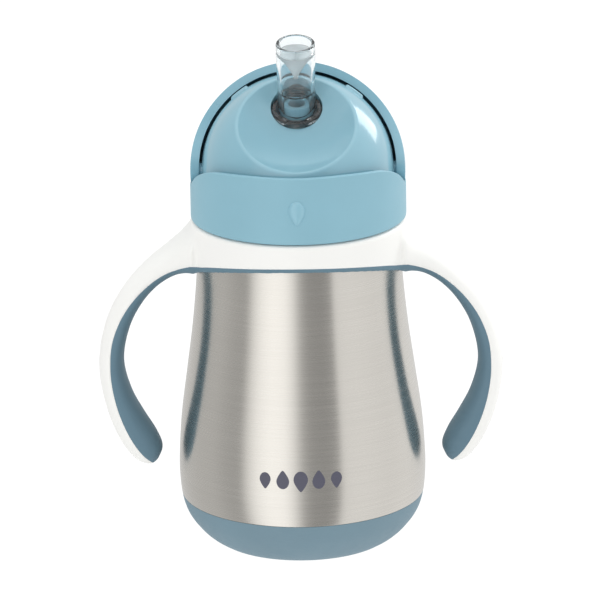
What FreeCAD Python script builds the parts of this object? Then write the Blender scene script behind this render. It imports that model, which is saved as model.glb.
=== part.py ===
import FreeCAD, Part
import math
import os

# Insulated straw sippy cup: steel double-walled bottle, twin-arm handle ring, screw lid, folding spout.
#
# Millimetres, +Z up. The origin is the centre of the foot on the table, -Y is the side the child drinks from,
# and the two handle arms lie along +X and -X.

Vec = FreeCAD.Vector
X_AXIS = Vec(1, 0, 0)
Y_AXIS = Vec(0, 1, 0)
Z_AXIS = Vec(0, 0, 1)
FAR = 60.0                      # half-size of cutting blocks, past every face of the cup

# Bottle
BODY_R = 40.0                   # widest radius of the bottle
BODY_WIDEST_Z = 25.0
FOOT_R = 27.6                   # outer radius of the flat foot ring
FOOT_HOLLOW_R = 23.0
FOOT_HOLLOW = 0.8
SEAM_Z = 15.5                   # where the steel meets the moulded base cup
BASE_WALL = 1.7
TUCK = 1.8                      # how far the shell steps in where it enters the base cup
STEEL = 0.6                     # thickness of both steel walls
GAP = 4.4                       # insulating gap between the steel walls
SHOULDER_Z = 102.6              # top of the outer shell's shoulder
SHOULDER_R = 32.6
SHOULDER_ROUND = 2.4
NECK_R = 29.6                   # outside of the neck
MOUTH_Z = 116.1                 # rim of the bottle's mouth
FLOOR_Z = 9.0                   # inside floor of the flask
# Radius and height of points on the bell-shaped side, from the widest place up to the shoulder
SIDE = [(BODY_R, BODY_WIDEST_Z), (39.1, 40.5), (36.9, 57.0), (34.8, 72.5), (33.3, 88.0), (SHOULDER_R, 100.2)]
# The same for the rounded lower side, from just above the foot up to the widest place
LOW_SIDE = [(28.4, 0.35), (31.0, 2.0), (33.3, 4.0), (35.05, 6.0), (36.55, 8.0), (37.7, 10.0), (38.65, 12.5),
            (39.4, 16.0), (39.85, 20.5), (BODY_R, BODY_WIDEST_Z)]

# Screw thread between the neck and the lid
PITCH = 3.6
THREAD_TURNS = 0.94
THREAD_WIDE = 1.4               # axial width at the root
THREAD_NARROW = 0.7             # axial width at the crest
MALE_CREST_R = 31.5
FEMALE_CREST_R = 30.1
THREAD_AZIMUTH = 100.0          # degrees round from the +X side where both threads start
MALE_START_Z = 111.1
THREAD_AXIAL_GAP = 0.45         # between the flanks that bear on each other when the lid is shut

# Lid
PIVOT_Z = 123.6                 # height of the shutter's axle, and the centre of the dome
COLLAR_R = 34.7
COLLAR_WALL = 2.2
COLLAR_BOTTOM_Z = 108.5
COLLAR_FRONT = 6.7              # height of the collar's front edge above the axle
COLLAR_BACK = -4.2              # height of its side and back edge above the axle
DECK = 2.0                      # thickness of the deck that closes the collar
DOME_R = 30.9
DOME_WALL = 2.0
DISH_R = 19.0                   # radius of the dished face the spout folds into
DISH_TILT = 52.0                # its normal's angle above the horizontal, towards the front
DISH_SAG = 5.8                  # how far its middle lies under its rim's plane
DISH_ROUND = 1.6
HOLE_R = 8.3
HOLE_UP_DISH = 10.6             # how far up the dish the spout's hole lies from its middle
PAD_HEIGHT = 0.65               # guide pads on the dome, under the shutter's rim
GASKET = 1.3
VENT_ANGLE = 152.0              # direction of the air valve round the dome, from the front over the top
VENT_R = 2.2

# Shutter
SHUTTER_R = 34.6
SHUTTER_WALL = 2.7
SHUTTER_SWING = 94.0            # degrees from open to shut
EAR_R = 3.8                     # radius of the shutter's ears round the axle
EDGE_GAP = 0.35                 # between the shutter's edges and the collar's
AXLE_R = 2.4
AXLE_PLAY = 0.06
AXLE_TIP_X = 29.3

# Spout and straw, all soft silicone
SPOUT_LEAN = 13.0               # degrees the spout leans to the front
SPOUT_R = 6.3
FOLD_UP = 4.2                   # where the spout folds, above the dish
SPOUT_LENGTH = 22.4             # from the dish to the mouth
SPOUT_MOUTH_R = 5.1
SPOUT_BORE_R = 4.3
VALVE_TOP = 4.5                 # depth below the mouth where the valve's lips start to close
VALVE_BOTTOM = 11.4
VALVE_LIP = 0.8
VALVE_SLIT = 0.3
PLUG_FLANGE_R = 10.0
STRAW_R = 3.8
STRAW_WALL = 1.1
SOCKET_R = 6.0
SOCKET_BOTTOM = 8.0             # height of the socket's lower end above the axle
STRAW_END_Z = 12.5

# Handle
RING_R = 34.9
RING_TOP_Z = 108.2
RING_FLANGE_R = 31.9
# Distance along Y and height of points on the ring's lower edge, which dips at the sides where the arms leave,
# and on the line where its soft band meets the hard frame
RING_EDGE = [(3.0, 90.4), (8.0, 91.4), (13.0, 93.2), (20.0, 95.2), (27.5, 97.3), (35.1, 99.3), (40.0, 100.6)]
BAND_EDGE = [(12.5, 95.0), (16.0, 95.9), (20.0, 97.1), (27.0, 98.9), (35.0, 100.8), (40.0, 101.9)]


def revolve(points, turn=360.0):
    """A solid of revolution about Z from (radius, height) corners, or from a list of edges."""
    if isinstance(points[0], tuple):
        corners = [Vec(r, 0, z) for r, z in points]
        wire = Part.makePolygon(corners + corners[:1])
    else:
        wire = Part.Wire(points)
    return Part.Face(wire).revolve(Vec(0, 0, 0), Z_AXIS, turn)


def spline(points):
    """A smooth edge through points."""
    curve = Part.BSplineCurve()
    curve.interpolate(points)
    return curve.toShape()


def line(a, b):
    return Part.LineSegment(a, b).toShape()


def prism(edges, direction):
    """A closed outline swept along direction."""
    return Part.Face(Part.Wire(edges)).extrude(direction)


def cylinder(radius, start, end):
    axis = end - start
    return Part.makeCylinder(radius, axis.Length, start, axis)


def tilted(degrees_above_front):
    """Unit vector in the YZ plane: 0 points to the front, 90 points up."""
    a = math.radians(degrees_above_front)
    return Vec(0, -math.cos(a), math.sin(a))


PIVOT = Vec(0, 0, PIVOT_Z)
DISH_NORMAL = tilted(DISH_TILT)
DISH_UP = tilted(DISH_TILT + 90)
DISH_PLANE = math.sqrt(DOME_R ** 2 - DISH_R ** 2)       # from the dome's centre to the dish's rim plane
HOLE_SAG = DISH_SAG * (1 - (HOLE_UP_DISH / DISH_R) ** 2)
HOLE = PIVOT + DISH_NORMAL * (DISH_PLANE - HOLE_SAG) + DISH_UP * HOLE_UP_DISH
SPOUT_AXIS = tilted(90 - SPOUT_LEAN)
SHUTTER_IN_R = SHUTTER_R - SHUTTER_WALL


# ---------------------------------------------------------------- bottle

def side_points(inset):
    return [Vec(r - inset, 0, z) for r, z in SIDE]


def at_height(points, z):
    """The place on a rising run of points at height z, or its end where z is above it."""
    for a, b in zip(points, points[1:]):
        if a.z <= z < b.z:
            return a + (b - a) * ((z - a.z) / (b.z - a.z))
    return points[-1]


def base_curve(inset, top_z, bottom_z):
    """The rounded lower side between two heights, moved in square to itself by inset."""
    side = Part.BSplineCurve()
    side.interpolate(Points=[Vec(r, 0, z) for r, z in LOW_SIDE], InitialTangent=Vec(1, 0, 0.58), FinalTangent=Z_AXIS)
    steps = 240
    points = []
    for i in range(steps + 1):
        t = side.FirstParameter + (side.LastParameter - side.FirstParameter) * i / steps
        along = side.tangent(t)[0]
        points.append(side.value(t) + Vec(-along.z, 0, along.x) * inset)
    between = [p for p in points[::12] if bottom_z + 0.4 < p.z < top_z - 0.4]
    return [at_height(points, bottom_z)] + between + [at_height(points, top_z)]


def outer_shell():
    """Steel outer wall with the neck's rolled thread; its lower end tucks into the base cup."""
    step_z = SEAM_Z + 0.05
    low_z = 6.5
    outside = [spline(base_curve(0, BODY_WIDEST_Z, step_z))]
    side = spline(side_points(0))
    low = base_curve(TUCK, step_z, low_z)
    low_in = base_curve(TUCK + STEEL, step_z + STEEL, low_z)
    edges = [spline(low), line(low[-1], outside[0].Vertexes[0].Point), outside[0], side]
    shoulder_a = Vec(SHOULDER_R, 0, SIDE[-1][1])
    shoulder_b = Vec(SHOULDER_R - SHOULDER_ROUND, 0, SHOULDER_Z)
    bend = math.sqrt(0.5)
    middle = Vec(shoulder_b.x + SHOULDER_ROUND * bend, 0, shoulder_a.z + SHOULDER_ROUND * bend)
    edges.append(Part.Arc(shoulder_a, middle, shoulder_b).toShape())
    neck_top = MOUTH_Z - STEEL
    neck = [shoulder_b, Vec(NECK_R, 0, SHOULDER_Z), Vec(NECK_R, 0, neck_top), Vec(NECK_R - STEEL, 0, neck_top),
            Vec(NECK_R - STEEL, 0, SHOULDER_Z - STEEL), Vec(shoulder_b.x - STEEL, 0, SHOULDER_Z - STEEL)]
    edges += [line(a, b) for a, b in zip(neck, neck[1:])]
    inner_arc_end = Vec(SHOULDER_R - STEEL, 0, shoulder_a.z)
    edges.append(line(neck[-1], inner_arc_end))
    inside = side_points(STEEL)[::-1]
    edges.append(spline(inside))
    inside_low = base_curve(STEEL, BODY_WIDEST_Z, step_z + STEEL)[::-1]
    edges.append(spline(inside_low))
    edges.append(line(inside_low[-1], low_in[-1]))
    edges.append(spline(low_in[::-1]))
    edges.append(line(low_in[0], low[0]))
    return revolve(edges).fuse(thread_ridge(NECK_R - 0.3, MALE_CREST_R, MALE_START_Z)).removeSplitter()


def thread_ridge(root_r, crest_r, start_z):
    """One right-hand helical ridge between two radii, starting a little round from the +X side at start_z."""
    profile = [(root_r, -THREAD_WIDE / 2), (crest_r, -THREAD_NARROW / 2),
               (crest_r, THREAD_NARROW / 2), (root_r, THREAD_WIDE / 2)]
    corners = [Vec(r, 0, z) for r, z in profile]
    wire = Part.makePolygon(corners + corners[:1])
    helix = Part.makeHelix(PITCH, PITCH * THREAD_TURNS, root_r)
    ridge = Part.Wire(helix.Edges).makePipeShell([wire], True, True)
    if ridge.Volume < 0:
        ridge.reverse()
    ridge.rotate(Vec(0, 0, 0), Z_AXIS, THREAD_AZIMUTH)
    ridge.translate(Vec(0, 0, start_z))
    return ridge


def inner_flask():
    """Steel inner vessel; its rolled lip is welded over the edge of the shell's neck."""
    shift = STEEL + GAP
    floor_round = 9.0
    wall = [Vec(r - shift, 0, z) for r, z in SIDE]
    wall_in = [Vec(v.x - STEEL, 0, v.z) for v in wall]
    top = Vec(wall[-1].x, 0, SIDE[-1][1] - 3.0)
    wall[-1] = top
    wall_in[-1] = Vec(top.x - STEEL, 0, top.z)
    corner_r = BODY_R - shift
    foot = Vec(corner_r - floor_round, 0, FLOOR_Z - STEEL)
    foot_in = Vec(foot.x, 0, FLOOR_Z)
    bend = math.sqrt(0.5)

    def round_corner(radius, outer):
        """The quarter round from the floor into the wall, then the straight rise to the widest place."""
        z0 = FLOOR_Z - STEEL if outer else FLOOR_Z
        centre = Vec(corner_r - floor_round, 0, FLOOR_Z - STEEL + floor_round)
        mid = Vec(centre.x + radius * bend, 0, centre.z - radius * bend)
        end = Vec(centre.x + radius, 0, centre.z)
        return Part.Arc(Vec(centre.x, 0, z0), mid, end).toShape(), end

    arc, arc_end = round_corner(floor_round, True)
    arc_in, arc_in_end = round_corner(floor_round - STEEL, False)
    neck_in = NECK_R - STEEL - 0.5
    lip = [Vec(neck_in, 0, SHOULDER_Z), Vec(neck_in, 0, MOUTH_Z - STEEL), Vec(NECK_R, 0, MOUTH_Z - STEEL),
           Vec(NECK_R, 0, MOUTH_Z), Vec(neck_in - STEEL, 0, MOUTH_Z), Vec(neck_in - STEEL, 0, SHOULDER_Z)]
    edges = [line(Vec(0, 0, FLOOR_Z - STEEL), foot), arc, line(arc_end, wall[0])]
    edges += [spline(wall), line(wall[-1], lip[0])]
    edges += [line(a, b) for a, b in zip(lip, lip[1:])]
    edges += [line(lip[-1], wall_in[-1]), spline(wall_in[::-1]), line(wall_in[0], arc_in_end), arc_in]
    edges += [line(foot_in, Vec(0, 0, FLOOR_Z)), line(Vec(0, 0, FLOOR_Z), Vec(0, 0, FLOOR_Z - STEEL))]
    return revolve(edges)


PLATE_Z = 3.4                   # underside of the steel plate that closes the shell
PORT_R = 2.0


def base_plate():
    """Pressed steel disc welded inside the shell's lower end, with a dimple round the pumping port."""
    rim = base_curve(TUCK + STEEL, SEAM_Z - 1.0, 6.5)[0].x
    points = [(PORT_R, PLATE_Z + 1.2), (6.0, PLATE_Z + 1.2), (8.0, PLATE_Z), (rim - 2.5, PLATE_Z), (rim, 6.5),
              (rim, 8.0), (rim - STEEL, 8.0), (rim - STEEL, 6.8), (rim - 2.8, PLATE_Z + STEEL),
              (8.2, PLATE_Z + STEEL), (6.2, PLATE_Z + 1.2 + STEEL), (PORT_R, PLATE_Z + 1.2 + STEEL)]
    return revolve(points)


def vacuum_seal():
    """Solder bead that closes the pumping port."""
    return revolve([(0, PLATE_Z + 0.5), (3.2, PLATE_Z + 0.5), (3.2, PLATE_Z + 1.2), (PORT_R, PLATE_Z + 1.2),
                    (PORT_R, PLATE_Z + 2.1), (0, PLATE_Z + 2.1)])


def getter():
    """Gas-absorbing pill spot-welded under the flask's floor."""
    return revolve([(11.0, FLOOR_Z - STEEL - 1.4), (15.0, FLOOR_Z - STEEL - 1.4),
                    (15.0, FLOOR_Z - STEEL), (11.0, FLOOR_Z - STEEL)])


def base_cup():
    """Moulded base, flush with the steel side, with a foot ring round a shallow hollow."""
    foot_z = 0.35
    outside = base_curve(0, SEAM_Z, foot_z)
    inside = base_curve(BASE_WALL, SEAM_Z, 2.6)
    edges = [line(Vec(0, 0, FOOT_HOLLOW), Vec(FOOT_HOLLOW_R, 0, FOOT_HOLLOW)),
             line(Vec(FOOT_HOLLOW_R, 0, FOOT_HOLLOW), Vec(FOOT_HOLLOW_R + 0.6, 0, 0)),
             line(Vec(FOOT_HOLLOW_R + 0.6, 0, 0), Vec(FOOT_R, 0, 0)),
             line(Vec(FOOT_R, 0, 0), outside[0]), spline(outside)]
    edges += [line(outside[-1], inside[-1]), spline(inside[::-1]),
              line(inside[0], Vec(0, 0, 2.6)), line(Vec(0, 0, 2.6), Vec(0, 0, FOOT_HOLLOW))]
    return revolve(edges)


# ---------------------------------------------------------------- handle

# The arm in the XZ plane: outer and inner edge of each cross-section, and its width along Y
ARM_SECTIONS = [
    ((33.9, 107.0), (33.9, 90.2), 30.0),
    ((37.6, 103.0), (36.4, 90.3), 24.0),
    ((42.6, 98.8), (40.2, 89.3), 19.0),
    ((49.6, 93.0), (45.4, 86.0), 16.5),
    ((57.0, 84.6), (50.6, 80.2), 15.5),
    ((62.6, 74.0), (55.0, 71.8), 15.0),
    ((65.4, 60.0), (57.3, 60.0), 15.0),
    ((64.0, 47.0), (55.0, 49.6), 15.0),
    ((60.4, 35.8), (50.9, 41.6), 15.0),
    ((56.6, 29.2), (47.2, 35.4), 14.0),
    ((53.5, 26.0), (45.4, 30.6), 11.5),
    ((50.0, 24.5), (46.6, 26.9), 6.5),
]
# The line in the XZ plane that parts the hard outside of the arm from its soft lining
LINING = [(33.0, 95.8), (38.5, 93.4), (43.9, 90.8), (48.9, 87.0), (53.9, 81.7), (58.0, 75.2), (60.8, 67.4),
          (61.5, 60.0), (61.1, 53.0), (59.4, 45.0), (56.4, 37.0), (52.8, 30.6), (49.2, 26.2), (44.5, 21.0)]


def arm_section(outer, inner, width):
    """A closed smooth outline, nearly an ellipse, standing across the arm's plane."""
    a, b = Vec(outer[0], 0, outer[1]), Vec(inner[0], 0, inner[1])
    centre = (a + b) * 0.5
    half = (a - b) * 0.5
    fullness = 0.86
    points = []
    count = 12
    for i in range(count):
        t = 2 * math.pi * i / count
        c, s = math.cos(t), math.sin(t)
        along = math.copysign(abs(c) ** fullness, c)
        across = math.copysign(abs(s) ** fullness, s)
        points.append(centre + half * along + Y_AXIS * (width / 2 * across))
    curve = Part.BSplineCurve()
    curve.interpolate(points, PeriodicFlag=True)
    return Part.Wire(curve.toShape())


def right_arm():
    return Part.makeLoft([arm_section(*s) for s in ARM_SECTIONS], True, False)


def mirrored(shape):
    return shape.mirror(Vec(0, 0, 0), X_AXIS)


def above_wave(half):
    """Everything above a wavy edge that is the same front and back; half holds (y, height) points."""
    right = [Vec(-FAR, y, z) for y, z in half]
    left = [Vec(v.x, -v.y, v.z) for v in right[::-1]]
    top = [right[-1], Vec(-FAR, FAR, 130.0), Vec(-FAR, -FAR, 130.0), left[0]]
    edges = [spline(left), line(left[-1], right[0]), spline(right)]
    edges += [line(a, b) for a, b in zip(top, top[1:])]
    return prism(edges, X_AXIS * (2 * FAR))


def handle_ring():
    """The ring that drops over the neck and sits on the shoulder, cut to its wavy lower edge."""
    clear = 0.35
    flange_z = SHOULDER_Z - 0.5
    ring = revolve([(RING_FLANGE_R, flange_z), (RING_FLANGE_R, RING_TOP_Z), (RING_R - 0.4, RING_TOP_Z),
                    (RING_R, RING_TOP_Z - 0.4), (RING_R + 0.15, 88.0), (SIDE[4][0] + clear, 88.0),
                    (SIDE[5][0] + clear, SIDE[5][1]), (SIDE[5][0] + clear, flange_z)])
    return ring.common(above_wave(RING_EDGE))


def lining_region():
    """The space on the bottle's side of both arms' parting lines, and under the band along the ring's edge."""
    curve = [Vec(x, -FAR, z) for x, z in LINING]
    corners = [curve[-1], Vec(30.0, -FAR, 15.0), Vec(30.0, -FAR, curve[0].z), curve[0]]
    side = prism([spline(curve)] + [line(a, b) for a, b in zip(corners, corners[1:])], Y_AXIS * (2 * FAR))
    side = side.common(Part.makeBox(FAR, 2 * FAR, 100.0, Vec(RING_R + 0.2, -FAR, 10.0)))
    band = Part.makeBox(2 * (RING_R + 0.2), 2 * FAR, FAR, Vec(-RING_R - 0.2, -FAR, 60.0))
    band = band.cut(above_wave(BAND_EDGE))
    return side.fuse(mirrored(side)).fuse(band)


def handle_parts():
    clear = 0.35
    bore = revolve([(0, 60.0), (SIDE[3][0] + clear, 72.0), (SIDE[4][0] + clear, 88.0),
                    (SIDE[5][0] + clear, SIDE[5][1]), (SIDE[5][0] + clear, 112.0), (0, 112.0)])
    arm = right_arm().cut(bore)
    arm = arm.cut(Part.makeBox(2 * FAR, 2 * FAR, 20.0, Vec(-FAR, -FAR, RING_TOP_Z)))
    whole = handle_ring().fuse(arm).fuse(mirrored(arm)).removeSplitter()
    region = lining_region()
    return whole.cut(region), whole.common(region)


# ---------------------------------------------------------------- lid

def collar_edge(lift, ear_r):
    """The collar's wavy top edge in the YZ plane at x = -FAR: high in front, low at the sides and back.

    lift moves it up by the shutter's running gap; round the axle it keeps ear_r away.
    """
    front, back = COLLAR_FRONT + lift, -ear_r
    ramp = [(-32.0, front), (-27.0, front - 0.5), (-21.0, front - 1.5), (-16.5, front - 3.1), (-12.0, front - 5.4),
            (-7.5, front - 8.2), (-3.5, back + 0.5), (0.0, back)]
    return [Vec(-FAR, y, PIVOT_Z + z) for y, z in ramp]


def below_edge(ramp):
    """Everything under a wavy edge."""
    start = Vec(-FAR, -FAR, ramp[0].z)
    back = Vec(-FAR, FAR, ramp[-1].z)
    floor = [back, Vec(-FAR, FAR, 50.0), Vec(-FAR, -FAR, 50.0), start]
    edges = [line(start, ramp[0]), spline(ramp), line(ramp[-1], back)]
    edges += [line(a, b) for a, b in zip(floor, floor[1:])]
    return prism(edges, X_AXIS * (2 * FAR))


def drop_mark():
    """The small raised drop in the middle of the collar's front, round above and pointed below."""
    centre_z, half_w, up, down, proud = 119.9, 2.6, 2.9, 4.6, 0.7
    top = [Vec(0, 0, centre_z - down), Vec(half_w * 0.8, 0, centre_z - 1.7), Vec(half_w, 0, centre_z + 0.4),
           Vec(0, 0, centre_z + up)]
    right = spline(top)
    left = spline([Vec(-v.x, 0, v.z) for v in top])
    shape = prism([right, left], Vec(0, -COLLAR_R - 5, 0))
    reach = 9.0
    ball = Part.makeSphere(reach, Vec(0, -COLLAR_R - proud + reach, centre_z))
    return shape.common(ball).cut(Part.makeCylinder(COLLAR_R - 1.0, 200))


def lid_collar():
    """Screw collar: skirt with the inside thread, a deck behind the dome, and the high front wall."""
    deck_z = PIVOT_Z + COLLAR_BACK
    inner = COLLAR_R - COLLAR_WALL
    dome_skirt = DOME_R - DOME_WALL
    top_z = PIVOT_Z + COLLAR_FRONT
    skirt = revolve([(inner, COLLAR_BOTTOM_Z), (COLLAR_R - 0.5, COLLAR_BOTTOM_Z), (COLLAR_R, COLLAR_BOTTOM_Z + 0.5),
                     (COLLAR_R, top_z), (inner, top_z)])
    skirt = skirt.common(below_edge(collar_edge(0.0, -COLLAR_BACK)))
    deck = revolve([(dome_skirt, deck_z - DECK), (inner + 0.4, deck_z - DECK), (inner + 0.4, deck_z - 0.6),
                    (dome_skirt, deck_z - 0.6)])
    female_start = MALE_START_Z - THREAD_WIDE - THREAD_AXIAL_GAP
    ridge = thread_ridge(inner + 0.3, FEMALE_CREST_R, female_start)
    return skirt.fuse(deck).fuse(ridge).fuse(drop_mark()).removeSplitter()


def dish_cutter(depth):
    """A large ball whose cap cuts the dished face, depth below the outside surface."""
    ball_r = (DISH_R ** 2 + DISH_SAG ** 2) / (2 * DISH_SAG)
    centre = PIVOT + DISH_NORMAL * (DISH_PLANE - DISH_SAG + ball_r)
    return Part.makeSphere(ball_r + depth, centre)


def lid_dome():
    """Dome moulded with the dished face and spout hole; its skirt stands on the collar's deck."""
    deck_z = PIVOT_Z + COLLAR_BACK
    below = Part.makeBox(2 * FAR, 2 * FAR, FAR, Vec(-FAR, -FAR, PIVOT_Z - FAR))
    outside = Part.makeSphere(DOME_R, PIVOT).cut(below)
    outside = outside.fuse(Part.makeCylinder(DOME_R, PIVOT_Z - deck_z, Vec(0, 0, deck_z), Z_AXIS)).removeSplitter()
    outside = outside.cut(dish_cutter(0.0))
    rim = [e for e in outside.Edges if abs(e.Length - 2 * math.pi * DISH_R) < 2.0]
    outside = outside.makeFillet(DISH_ROUND, rim)
    inner_r = DOME_R - DOME_WALL
    hollow = Part.makeSphere(inner_r, PIVOT).cut(below)
    hollow = hollow.fuse(Part.makeCylinder(inner_r, PIVOT_Z - deck_z + 1, Vec(0, 0, deck_z - 1), Z_AXIS))
    hollow = hollow.removeSplitter().cut(dish_cutter(DOME_WALL))
    dome = outside.cut(hollow)
    for side in (-1, 1):
        boss = cylinder(AXLE_R + 2.2, Vec(side * 26.6, 0, PIVOT_Z), Vec(side * (inner_r + 0.8), 0, PIVOT_Z))
        dome = dome.fuse(boss)
        hole = cylinder(AXLE_R + AXLE_PLAY, Vec(side * (AXLE_TIP_X - 0.3), 0, PIVOT_Z), Vec(side * 40.0, 0, PIVOT_Z))
        dome = dome.cut(hole)
        dome = dome.fuse(guide_pad(side))
    hole = cylinder(HOLE_R, HOLE - DISH_NORMAL * 6, HOLE + DISH_NORMAL * 6)
    hole = hole.fuse(cylinder(SPOUT_R + 0.6, HOLE, HOLE + SPOUT_AXIS * 12))
    tongue = revolve([(inner_r, deck_z - 0.6), (DOME_R, deck_z - 0.6), (DOME_R, deck_z), (inner_r, deck_z)])
    return dome.fuse(tongue).cut(hole).cut(vent_hole(VENT_R)).removeSplitter()


def vent_hole(radius):
    """Room for the air valve, through the back of the dome where the open shutter hides it."""
    out = tilted(VENT_ANGLE)
    return cylinder(radius, PIVOT + out * (DOME_R - DOME_WALL - 3.0), PIVOT + out * (DOME_R + 3.0))


def vent_valve():
    """Silicone air valve: a plug through the dome's back, a flange inside, and a slit duck bill behind it."""
    out = tilted(VENT_ANGLE)
    inner_r = DOME_R - DOME_WALL
    plug = vent_hole(VENT_R - 0.05).common(Part.makeSphere(DOME_R - 0.2, PIVOT))
    base = PIVOT + out * (inner_r - 0.3)
    plug = plug.cut(cylinder(VENT_R * 3, base - out * 10, base))
    flange = cylinder(VENT_R + 1.5, base - out * 1.0, base)
    bill = Part.makeCone(VENT_R - 0.2, 0.5, 4.0, base - out * 1.0, out * -1)
    valve = plug.fuse(flange).fuse(bill)
    return valve.cut(cylinder(0.45, base - out * 8, base + out * 8))


def guide_pad(side):
    """A raised pad on the dome that the shutter's rim rides on, a third of the way down the side."""
    shell = Part.makeSphere(DOME_R + PAD_HEIGHT, PIVOT).cut(Part.makeSphere(DOME_R - 0.3, PIVOT))
    near, far = 15.4, 21.0
    low = near if side > 0 else -far
    slab = Part.makeBox(far - near, FAR, FAR, Vec(low, 0, PIVOT_Z))
    wedge = prism([line(PIVOT, PIVOT + tilted(97) * 50), line(PIVOT + tilted(97) * 50, PIVOT + tilted(118) * 50),
                   line(PIVOT + tilted(118) * 50, PIVOT)], X_AXIS * FAR)
    wedge = wedge.fuse(mirrored(wedge))
    return shell.common(slab).common(wedge)


def lid_gasket():
    """Silicone ring under the deck, squeezed by the bottle's rim."""
    top = PIVOT_Z + COLLAR_BACK - DECK
    return revolve([(NECK_R - 3.4, top - GASKET), (NECK_R + 1.6, top - GASKET), (NECK_R + 1.6, top),
                    (NECK_R - 3.4, top)])


# ---------------------------------------------------------------- shutter

def shutter():
    """Quarter-ball hood that turns over the dome on two short axles. Modelled shut, then swung open to rest."""
    hood = Part.makeSphere(SHUTTER_R, PIVOT).cut(Part.makeSphere(SHUTTER_IN_R, PIVOT))
    hood = hood.cut(below_edge(collar_edge(EDGE_GAP, EAR_R)))
    behind = Part.makeBox(2 * FAR, 2 * FAR, 4 * FAR, Vec(-FAR, EAR_R, -2 * FAR))
    behind.rotate(Vec(0, 0, 0), X_AXIS, SHUTTER_SWING - 90)
    behind.translate(PIVOT)
    under = Part.makeBox(2 * FAR, FAR, FAR, Vec(-FAR, 0, PIVOT_Z - FAR))
    hood = hood.cut(behind).cut(under)
    for side in (-1, 1):
        ear = cylinder(EAR_R, Vec(side * 25.0, 0, PIVOT_Z), Vec(side * FAR, 0, PIVOT_Z))
        ear = ear.common(Part.makeSphere(SHUTTER_R, PIVOT)).cut(Part.makeSphere(SHUTTER_IN_R, PIVOT))
        axle = cylinder(AXLE_R, Vec(side * AXLE_TIP_X, 0, PIVOT_Z), Vec(side * (SHUTTER_IN_R + 0.8), 0, PIVOT_Z))
        hood = hood.fuse(ear).fuse(axle)
    hood = hood.removeSplitter()
    hood.rotate(PIVOT, X_AXIS, -SHUTTER_SWING)
    return hood


# ---------------------------------------------------------------- spout and straw

def spout():
    """One silicone moulding: flange and plug that snap into the hole, leaning tube, lipped valve, straw socket.

    It comes back in two pieces that meet where the shutter folds it over.
    """
    plug_low = HOLE - DISH_NORMAL * 5.4
    mouth = HOLE + SPOUT_AXIS * SPOUT_LENGTH
    socket_top = HOLE - DISH_NORMAL * 3.8
    socket_end = Vec(0, socket_top.y, PIVOT_Z + SOCKET_BOTTOM)
    body = cylinder(HOLE_R - 0.1, plug_low, HOLE - DISH_NORMAL * 0.8)
    body = body.fuse(cylinder(PLUG_FLANGE_R, plug_low, plug_low + DISH_NORMAL * 1.3))
    body = body.fuse(cylinder(SPOUT_R, HOLE - SPOUT_AXIS * 1.0, mouth))
    body = body.fuse(cylinder(SOCKET_R, socket_end, Vec(0, socket_top.y, socket_top.z)))
    body = body.fuse(Part.makeSphere(SOCKET_R, socket_top)).removeSplitter()
    body = body.cut(cylinder(STRAW_R + 0.05, socket_end, socket_top))
    body = body.cut(Part.makeSphere(STRAW_R + 0.05, socket_top))
    body = body.cut(cylinder(SPOUT_BORE_R, socket_top, mouth - SPOUT_AXIS * (VALVE_BOTTOM + VALVE_LIP * 2.5)))
    body = body.cut(cylinder(SPOUT_MOUTH_R, mouth - SPOUT_AXIS * VALVE_TOP, mouth))
    body = body.cut(valve_wedge(mouth, VALVE_TOP, VALVE_BOTTOM, SPOUT_MOUTH_R, 0.0))
    lips_end = VALVE_BOTTOM + VALVE_LIP * 2
    below = cylinder(SPOUT_BORE_R, mouth - SPOUT_AXIS * (lips_end + VALVE_LIP / 2), mouth - SPOUT_AXIS * VALVE_TOP)
    below = below.cut(valve_wedge(mouth, VALVE_TOP - 2.0, lips_end, SPOUT_MOUTH_R + 2, VALVE_LIP))
    body = body.cut(below)
    slit = Part.makeBox(VALVE_SLIT, SPOUT_BORE_R * 1.4, 6.0, Vec(-VALVE_SLIT / 2, -SPOUT_BORE_R * 0.7, -3.0))
    slit.rotate(Vec(0, 0, 0), X_AXIS, SPOUT_LEAN)
    slit.translate(mouth - SPOUT_AXIS * VALVE_BOTTOM)
    body = body.cut(slit)
    fold = HOLE + SPOUT_AXIS * FOLD_UP
    above = Part.makeCylinder(FAR, FAR, fold, SPOUT_AXIS)
    return body.cut(above), body.common(above)


def valve_wedge(mouth, top, bottom, half, extra):
    """A wedge that narrows from side to side down the spout to a front-to-back edge, clipped to a round."""
    up, down = mouth - SPOUT_AXIS * top, mouth - SPOUT_AXIS * bottom
    wide, thin = X_AXIS * half, X_AXIS * (0.15 + extra)
    across = Vec(0, SPOUT_AXIS.z, -SPOUT_AXIS.y)
    corners = [c - across * FAR for c in (up - wide, up + wide, down + thin, down - thin)]
    edges = [line(a, b) for a, b in zip(corners, corners[1:] + corners[:1])]
    return prism(edges, across * (2 * FAR)).common(cylinder(half, mouth - SPOUT_AXIS * (bottom + 1), up))


def straw_tube():
    """Straight silicone straw pushed into the socket; its lower end is slanted so that it can't seal."""
    y = (HOLE - DISH_NORMAL * 3.8).y
    top = Vec(0, y, PIVOT_Z + SOCKET_BOTTOM + 9.5)
    low = Vec(0, y, STRAW_END_Z)
    tube = cylinder(STRAW_R, low, top).cut(cylinder(STRAW_R - STRAW_WALL, low, top))
    slant = Part.makeBox(20, 20, 10, Vec(-10, -10, -10))
    slant.rotate(Vec(0, 0, 0), X_AXIS, 25)
    slant.translate(Vec(0, y, STRAW_END_Z + 1.8))
    return tube.cut(slant)


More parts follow.
